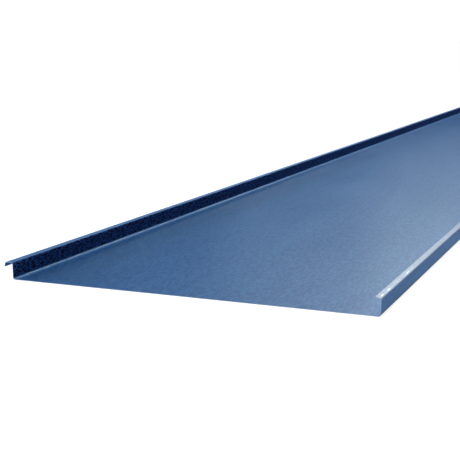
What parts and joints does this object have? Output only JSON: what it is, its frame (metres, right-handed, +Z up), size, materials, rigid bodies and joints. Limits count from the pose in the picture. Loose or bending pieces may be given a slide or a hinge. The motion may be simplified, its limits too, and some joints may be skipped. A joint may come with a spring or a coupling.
{
  "type": "standing seam roofing sheet",
  "caption": "Coated steel roofing tray: a flat pan with an outward overlap rib and lip on one edge and an inward underlap rib on the other, for a folded standing seam.",
  "frame": {"origin": "middle of the pan's underside, halfway along the sheet and halfway between the outer faces of its two ribs", "axes": "+X across the sheet towards the underlap rib, +Y along the sheet, +Z up from the pan to the rib tops"},
  "size_m": [0.5649, 4, 0.0256],
  "materials": {
    "coated_steel": "satin blue paint film on both faces of thin coated steel, with bare cut edges"
  },
  "bodies": {
    "root": {"roof_sheet": "coated_steel"}
  },
  "joints": []
}
